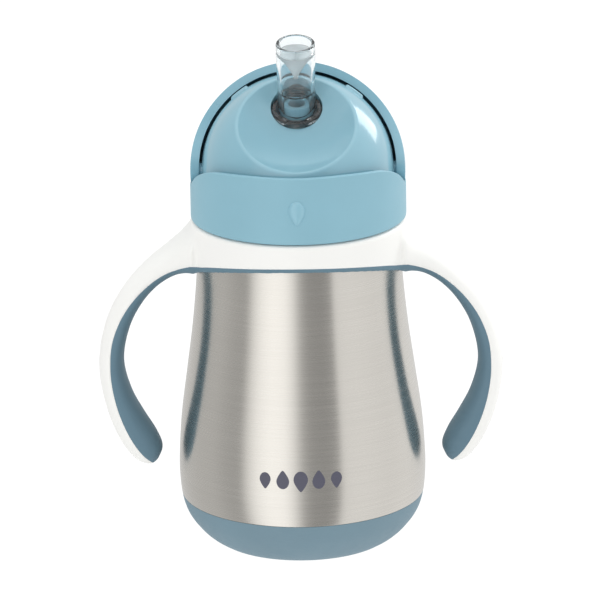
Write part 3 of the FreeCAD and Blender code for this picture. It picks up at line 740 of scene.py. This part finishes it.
def drop():
    """The small raised drop on the collar's front."""
    rings, spokes = 14, 72
    centre_z, half_w, up, down, proud = 119.9, 2.7, 3.1, 5.0, 1.25
    verts = []
    for i in range(rings + 1):
        t = i / rings
        height = proud * (1 - t ** 2) ** 0.6 - 0.12 if t < 1 else -0.12
        for k in range(spokes):
            a = 2 * math.pi * k / spokes
            s, c = math.sin(a), math.cos(a)
            x = half_w * s
            if c >= 0:
                z = up * c
            else:
                x = half_w * s * (1 - 0.42 * (-c) ** 1.6)
                z = down * c
            r = COLLAR_R + height
            angle = -math.pi / 2 + x * t / COLLAR_R
            verts.append((r * math.cos(angle), r * math.sin(angle), centre_z + z * t))
    return make("raised_drop", verts, grid_faces(rings + 1, spokes, wrap_cols=True))


def dome():
    """A ball with a round dish in its face and a hole in the dish, standing on a short skirt."""
    rim = 1.6
    outline = []
    centre = DISH_PLANE - DISH_SAG + DISH_BALL
    edge = math.asin(DISH_R / DISH_BALL)
    for i in range(23):
        t = edge * 0.965 * i / 22
        outline.append((DISH_BALL * math.sin(t), centre - DISH_BALL * math.cos(t)))
    ball_edge = math.asin(DISH_R / DOME_R)
    p0, p1 = outline[-1], (DISH_R, DISH_PLANE)
    t2 = ball_edge + 0.04
    p2 = (DOME_R * math.sin(t2), DOME_R * math.cos(t2))
    for k in range(1, 8):
        t = k / 8
        outline.append(tuple((1 - t) ** 2 * p0[j] + 2 * t * (1 - t) * p1[j] + t ** 2 * p2[j] for j in (0, 1)))
    for i in range(61):
        t = t2 + (math.pi - t2) * i / 60
        outline.append((DOME_R * math.sin(t) if i < 60 else 0.0, DOME_R * math.cos(t)))
    ball = lathe("dome_skin", outline, 256, frame_to(DISH_NORMAL, PIVOT), closed=False)
    low = prism("low", [(-60, 60), (60, 60), (60, PIVOT.z), (-60, PIVOT.z)], -60, 60)
    boolean(ball, low, "DIFFERENCE")
    skirt = lathe("skirt", [(0, DECK_Z - 0.6), (DOME_R, DECK_Z - 0.6), (DOME_R, DECK_Z + 1),
                            (DOME_R, PIVOT.z + 0.02), (0, PIVOT.z + 0.02)], 256)
    boolean(ball, skirt, "UNION")
    inner = [(0, DECK_Z - 5), (DOME_R - DOME_WALL, DECK_Z - 5), (DOME_R - DOME_WALL, PIVOT.z)]
    inner += [((DOME_R - DOME_WALL) * math.cos(t), PIVOT.z + (DOME_R - DOME_WALL) * math.sin(t))
              for t in (math.pi / 2 * k / 24 for k in range(1, 25))]
    inner[-1] = (0, inner[-1][1])
    hollow = lathe("hollow", inner, 128)
    dish_in = lathe("dish_in", [((DISH_BALL + DOME_WALL) * math.sin(t) if k else 0.0,
                                 centre - (DISH_BALL + DOME_WALL) * math.cos(t))
                                for k, t in ((k, 0.75 * k / 24) for k in range(25))] + [(0, centre)], 128,
                    frame_to(DISH_NORMAL, PIVOT))
    boolean(hollow, dish_in, "DIFFERENCE")
    boolean(ball, hollow, "DIFFERENCE")
    hole = lathe("hole", [(0, -7), (HOLE_R, -7), (HOLE_R, 8), (0, 8)], 96, PLUG_AT)
    boolean(ball, hole, "DIFFERENCE")
    relief = lathe("relief", [(0, -5), (SPOUT_R + 0.3, -5), (SPOUT_R + 0.3, 14), (0, 14)], 72,
                   frame_to(SPOUT_AXIS, HOLE))
    boolean(ball, relief, "DIFFERENCE")
    for side in (-1, 1):
        pin = lathe("pin", [(0, -1), (2.46, -1), (2.46, 8), (0, 8)], 48,
                    frame_to(Vector((side, 0, 0)), PIVOT + Vector((side * 29.0, 0, 0)), Vector((0, 0, 1))))
        boolean(ball, pin, "DIFFERENCE")
    fix_normals(ball)
    pads = [pad(side) for side in (-1, 1)]
    nozzle = lathe("nozzle", rounded([(2.75, -3, 0), (4.15, -3, 0), (4.15, 1, 0.4), (2.75, 1, 0.4)]), 72,
                   frame_to(SPOUT_AXIS, HOLE))
    ball = apply(bevel(ball, 0.45, 40, 3))
    join(ball, nozzle, *pads)
    place(weighted(ball), "dome_blue", "lid", "lid_dome")


def pad(side):
    """A raised guide pad with soft edges, under the shutter's rim."""
    nu, nv = 18, 22
    verts = []
    for i in range(nu + 1):
        for j in range(nv + 1):
            u, v = i / nu, j / nv
            x = side * (15.4 + 5.6 * u)
            a = math.radians(97 + 21 * v)
            ring = math.sqrt((DOME_R - 0.2) ** 2 - x ** 2)
            edge = min(u, 1 - u) * 5.6
            edge_v = min(v, 1 - v) * 21 * math.pi / 180 * ring
            lift = 0.85 * min(1.0, edge / 0.5) ** 0.5 * min(1.0, edge_v / 0.5) ** 0.5
            p = Vector((x, -ring * math.cos(a), ring * math.sin(a)))
            p = p.normalized() * (DOME_R - 0.2 + lift)
            verts.append(PIVOT + p)
    obj = make("pad", verts, grid_faces(nu + 1, nv + 1))
    bm = bmesh.new()
    bm.from_mesh(obj.data)
    middle = bm.faces[:][len(bm.faces) // 2]
    if middle.normal.dot(middle.calc_center_median() - PIVOT * MM) < 0:
        bmesh.ops.reverse_faces(bm, faces=bm.faces)
    bm.to_mesh(obj.data)
    bm.free()
    return obj


def shutter():
    """The hood: a ball shell from front rim to back edge, with a round ear at each end of its axle."""
    def front_angle(rho):
        """Angle round the axle (0 front, 90 up, shut pose) of the rim at a distance from the axle."""
        lo, hi = -90.0, 80.0
        for _ in range(40):
            mid = (lo + hi) / 2
            y, z = -rho * math.cos(math.radians(mid)), rho * math.sin(math.radians(mid))
            if z < float(np.interp(y, SHUTTER_EDGE[:, 0], SHUTTER_EDGE[:, 1])):
                lo = mid
            else:
                hi = mid
        return hi

    back_tilt = 90 - SWING
    half = 90
    rows = 72
    start = math.asin(EAR_R / SHUTTER_R)
    verts, columns = [], []

    def point(u, a):
        rho = SHUTTER_R * math.sin(u)
        a = math.radians(a + SWING)
        return PIVOT + Vector((SHUTTER_R * math.cos(u), -rho * math.cos(a), rho * math.sin(a)))

    for i in range(2 * half + 1):
        t = i / (2 * half)
        u = start + (math.pi - 2 * start) * (0.5 - 0.5 * math.cos(math.pi * t))
        rho = SHUTTER_R * math.sin(u)
        a0 = front_angle(rho) if rho > EAR_R * 1.0001 else -90.0
        a1 = back_tilt + math.degrees(math.acos(max(-1.0, -EAR_R / max(rho, EAR_R))))
        column = []
        for j in range(rows + 1):
            v = j / rows
            column.append(len(verts))
            verts.append(point(u, a0 + (a1 - a0) * v))
        columns.append(column)
    faces = []
    for a, b in zip(columns, columns[1:]):
        for j in range(rows):
            faces.append((a[j], a[j + 1], b[j + 1], b[j]))
    for column, u_end in ((columns[0], 0.0), (columns[-1], math.pi)):
        start_u = start if u_end == 0 else math.pi - start
        a1 = back_tilt + 180.0
        gap = 360.0 - (a1 + 90.0)
        ring = list(column)
        for k in range(1, 26):
            ring.append(len(verts))
            verts.append(point(start_u, a1 + gap * k / 26))
        angles = [-90.0 + (a1 + 90.0) * j / rows for j in range(rows + 1)]
        angles += [a1 + gap * k / 26 for k in range(1, 26)]
        previous = ring
        for step in range(1, 5):
            u = start_u + (u_end - start_u) * step / 5
            current = []
            for a in angles:
                current.append(len(verts))
                verts.append(point(u, a))
            for k in range(len(ring)):
                n = (k + 1) % len(ring)
                faces.append((previous[k], previous[n], current[n], current[k]))
            previous = current
        faces.append(tuple(previous))
    obj = make("shutter_hood", verts, faces)
    fix_normals(obj)
    middle = obj.data.polygons[len(columns) // 2 * rows + rows // 2]
    if middle.normal.dot(middle.center - PIVOT * MM) < 0:
        obj.data.flip_normals()
    m = obj.modifiers.new("wall", "SOLIDIFY")
    m.thickness = (SHUTTER_R - SHUTTER_IN_R) * MM
    m.offset = -1
    m.use_even_offset = False
    apply(obj)
    apply(bevel(obj, 0.7, 50, 4))
    axles = []
    for side in (-1, 1):
        at = frame_to(Vector((side, 0, 0)), PIVOT + Vector((side * 29.3, 0, 0)), Vector((0, 0, 1)))
        axles.append(lathe("axle", rounded([(0, 0, 0), (2.4, 0, 0.3), (2.4, 3.6, 0), (0, 3.6, 0)]), 48, at))
    join(obj, *axles)
    place(weighted(obj), "shutter_blue", "shutter", "shutter")


def gasket():
    top = DECK_Z - 2.0
    outline = rounded([(26.2, top - 1.3, 0.35), (31.2, top - 1.3, 0.35), (31.2, top, 0.2), (26.2, top, 0.2)])
    place(weighted(lathe("seal_ring", outline, 160)), "white_silicone", "gasket", "lid_gasket")


# ------------------------------------------------------------------ spout and straw

def spout():
    """Clear silicone: leaning tube with one side squeezed a little flat low down, plug in the dish's hole,
    and milky lips inside.
    """
    place_at = frame_to(SPOUT_AXIS, HOLE)
    top = SPOUT_LENGTH
    flat_middle, flat_reach, bend_reach = 5.4, 6.4, 4.0
    outline = rounded([
        (SPOUT_R - 1.25, top - 0.05, 0.5), (SPOUT_R, top, 0.6), (SPOUT_R, top - 6, 0),
        (SPOUT_R - 0.2, top - 12, 0), (SPOUT_R - 0.35, 8.0, 0), (SPOUT_R - 0.35, 4.5, 0),
        (SPOUT_R - 0.15, 2.0, 0), (SPOUT_R - 0.1, -3.2, 0), (4.3, -3.2, 0), (4.3, 4.6, 0.3),
        (4.9, 5.3, 0.3), (5.05, top - 4.6, 0)])
    tube = []
    for a, b in zip(outline, outline[1:] + outline[:1]):
        steps = max(1, int(math.hypot(b[0] - a[0], b[1] - a[1]) / 0.7))
        tube += [(a[0] + (b[0] - a[0]) * k / steps, a[1] + (b[1] - a[1]) * k / steps) for k in range(steps)]
    body = lathe("spout_clear", tube, 96)
    for v in body.data.vertices:
        flat = FOLD_FLAT * max(0.0, 1 - ((v.co.z / MM - flat_middle) / flat_reach) ** 2) ** 1.5
        if v.co.y > 0:
            v.co.y *= 1 - flat
        v.co = place_at @ (v.co / MM) * MM
    valve = duckbill(place_at, top - 3.2, top - 9.8, 5.0)
    plug = lathe("plug", rounded([(5.6, -5.4, 0), (10.0, -5.4, 0.4), (10.0, -4.1, 0.4), (8.2, -4.1, 0.3),
                                  (8.2, 0.3, 0.9), (6.4, 0.3, 0.9), (5.6, -0.6, 0)]), 96, PLUG_AT)
    socket_top = HOLE - DISH_NORMAL * 3.8
    low = PIVOT.z + 8.0
    tall = socket_top.z - low
    socket = lathe("socket", rounded([(3.85, 0, 0.3), (6.0, 0, 0.4), (6.0, tall, 0), (5.0, tall + 2.6, 0.5),
                                      (3.85, tall + 1.5, 0)]), 80,
                   Matrix.Translation(Vector((0, socket_top.y, low))))
    boolean(body, plug, "UNION")
    boolean(body, socket, "UNION")
    fix_normals(body)
    place(valve, "milky_silicone", "spout")
    place(weighted(body), "clear_silicone", None, "spout_root", "spout_tip")
    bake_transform(body)


def duckbill(matrix, top, bottom, radius):
    """Two flat lips that lean in from the tube's wall to a slit, which runs front to back."""
    verts = []
    rows, cols = 14, 48
    for layer in (0, 1):
        for i in range(rows + 1):
            t = i / rows
            for k in range(cols):
                a = 2 * math.pi * k / cols
                x, y = math.cos(a), math.sin(a)
                thick = 0.75 * layer
                wedge = 1 - t
                px = math.copysign(max(abs(x) * radius * wedge, 0.12), x) if abs(x) > 1e-9 else 0.0
                py = y * radius * (1 - 0.12 * t)
                if layer:
                    px += math.copysign(thick * 0.9, x) * min(1.0, abs(x) * 3)
                    py += math.copysign(thick * 0.35, y) * min(1.0, abs(y) * 3)
                z = top - (top - bottom) * t - (0.5 if layer and i == rows else 0.0)
                verts.append(matrix @ Vector((px, py, z)))
    size = (rows + 1) * cols
    faces = grid_faces(rows + 1, cols, wrap_cols=True)
    faces += grid_faces(rows + 1, cols, wrap_cols=True, base=size)
    for k in range(cols):
        n = (k + 1) % cols
        faces.append((rows * cols + k, rows * cols + n, size + rows * cols + n, size + rows * cols + k))
        faces.append((k, n, size + n, size + k))
    obj = make("spout_lips", verts, faces)
    fix_normals(obj)
    return obj


def straw():
    y = (HOLE - DISH_NORMAL * 3.8).y
    low, high = 12.5, PIVOT.z + 17.5
    segments = 64
    verts = []
    rows = 0
    for k in range(segments):
        a = 2 * math.pi * k / segments
        cut = low + 1.8 + math.tan(math.radians(25)) * 3.8 * math.sin(a)
        outline = [(2.7, high), (3.55, high), (3.8, high - 0.25)]
        outline += [(3.8, high + (cut - high) * t) for t in (0.1, 0.3, 0.5, 0.7, 0.9, 1.0)]
        outline += [(2.7, low + 1.8 + math.tan(math.radians(25)) * 2.7 * math.sin(a))]
        rows = len(outline)
        verts += [(r * math.cos(a), y + r * math.sin(a), z) for r, z in outline]
    obj = make("straw_clear", verts, grid_faces(segments, rows, wrap_rows=True, wrap_cols=True))
    fix_normals(obj)
    place(weighted(obj), "clear_silicone", "lid", "straw_tube")


# ------------------------------------------------------------------ build

bottle()
print_mark()
handle()
collar()
dome()
shutter()
gasket()
spout()
straw()

for node, slot in (("inner_flask", "bare_steel"), ("base_plate", "bare_steel"), ("vacuum_seal", "solder"),
                   ("getter", "getter_grey"), ("vent_valve", "white_silicone")):
    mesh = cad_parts[node].data
    mesh.materials.clear()
    mesh.materials.append(M[slot])

# ------------------------------------------------------------------ studio

def paper():
    """White paper that gives off its own even light, so that the ground stays plain."""
    n = Nodes("paper")
    tone = n.noise(n.coord, 3.0, 2.0)
    n.wire(Base_Color=n.blend_colors(n.span(tone, 0, 1), (0.02, 0.02, 0.02), (0.021, 0.021, 0.021)))
    n.set(Emission_Color=(1, 1, 1, 1), Emission_Strength=1.02, Roughness=1.0)
    return n.mat


floor = make("floor", [(-3000, -3000, 0), (3000, -3000, 0), (3000, 3000, 0), (-3000, 3000, 0)],
             [(0, 1, 2, 3)])
floor.data.materials.append(paper())
floor.visible_glossy = False


def studio():
    """Walls of differing brightness all round. Each stop is (degrees right of the front, brightness)."""
    stops = [(-180, 0.75), (-110, 0.62), (-92, 0.60), (-74, 0.50), (-60, 0.46), (-51, 1.0), (-42, 1.28),
             (-30, 1.42), (-16, 1.36), (-7, 1.05), (1, 0.55), (9, 0.39), (24, 0.36), (35, 0.40), (39, 0.96),
             (60, 0.97), (90, 0.92), (115, 0.95), (150, 0.85), (180, 0.75)]
    world = bpy.data.worlds.new("studio")
    world.use_nodes = True
    tree = world.node_tree
    coord = tree.nodes.new("ShaderNodeTexCoord")
    split = tree.nodes.new("ShaderNodeSeparateXYZ")
    tree.links.new(coord.outputs["Generated"], split.inputs[0])
    back = tree.nodes.new("ShaderNodeMath")
    back.operation = "MULTIPLY"
    back.inputs[1].default_value = -1
    tree.links.new(split.outputs["Y"], back.inputs[0])
    angle = tree.nodes.new("ShaderNodeMath")
    angle.operation = "ARCTAN2"
    tree.links.new(split.outputs["X"], angle.inputs[0])
    tree.links.new(back.outputs[0], angle.inputs[1])
    place_on = tree.nodes.new("ShaderNodeMapRange")
    place_on.inputs["From Min"].default_value = -math.pi
    place_on.inputs["From Max"].default_value = math.pi
    tree.links.new(angle.outputs[0], place_on.inputs["Value"])
    ramp = tree.nodes.new("ShaderNodeValToRGB")
    while len(ramp.color_ramp.elements) < len(stops):
        ramp.color_ramp.elements.new(0.5)
    for k, (degrees, value) in enumerate(stops):
        e = ramp.color_ramp.elements[k]
        e.position = (degrees + 180) / 360
        e.color = (value / 2, value / 2, value / 2, 1)
    tree.links.new(place_on.outputs["Result"], ramp.inputs["Fac"])
    high = tree.nodes.new("ShaderNodeMapRange")
    high.inputs["From Min"].default_value = 0.55
    high.inputs["From Max"].default_value = 0.85
    tree.links.new(split.outputs["Z"], high.inputs["Value"])
    mix = tree.nodes.new("ShaderNodeMix")
    mix.data_type = "RGBA"
    tree.links.new(high.outputs["Result"], mix.inputs[0])
    tree.links.new(ramp.outputs["Color"], mix.inputs[6])
    mix.inputs[7].default_value = (0.75, 0.75, 0.75, 1)
    shader = tree.nodes["Background"]
    tree.links.new(mix.outputs[2], shader.inputs["Color"])
    shader.inputs["Strength"].default_value = 2.0
    bpy.context.scene.world = world


def softbox(name, where, aim, width, height, power):
    light = bpy.data.lights.new(name, "AREA")
    light.shape = "RECTANGLE"
    light.size, light.size_y = width, height
    light.energy = power
    obj = bpy.data.objects.new(name, light)
    obj.location = where
    direction = Vector(aim) - Vector(where)
    obj.rotation_euler = direction.to_track_quat("-Z", "Y").to_euler()
    bpy.context.scene.collection.objects.link(obj)


studio()
softbox("window", (0.87, 0.713, 0.62), (0, 0, 0.12), 0.42, 0.68, 3.8)
bpy.context.scene.view_settings.view_transform = "Standard"

camera_data = bpy.data.cameras.new("camera")
camera_data.lens = 390
camera_data.sensor_width = 36
camera_data.clip_end = 20
camera = bpy.data.objects.new("camera", camera_data)
aim = Vector((0, 0, 0.0795))
rise, aside, roll = math.radians(17.5), math.radians(1.0), math.radians(-0.93)
distance = 2.1
toward = Vector((math.sin(aside) * math.cos(rise), -math.cos(aside) * math.cos(rise), math.sin(rise)))
spot = aim + toward * distance
turn = (aim - spot).to_track_quat("-Z", "Y").to_matrix().to_4x4()
camera.matrix_world = Matrix.Translation(spot) @ turn @ Matrix.Rotation(roll, 4, "Z")
bpy.context.scene.collection.objects.link(camera)
bpy.context.scene.camera = camera
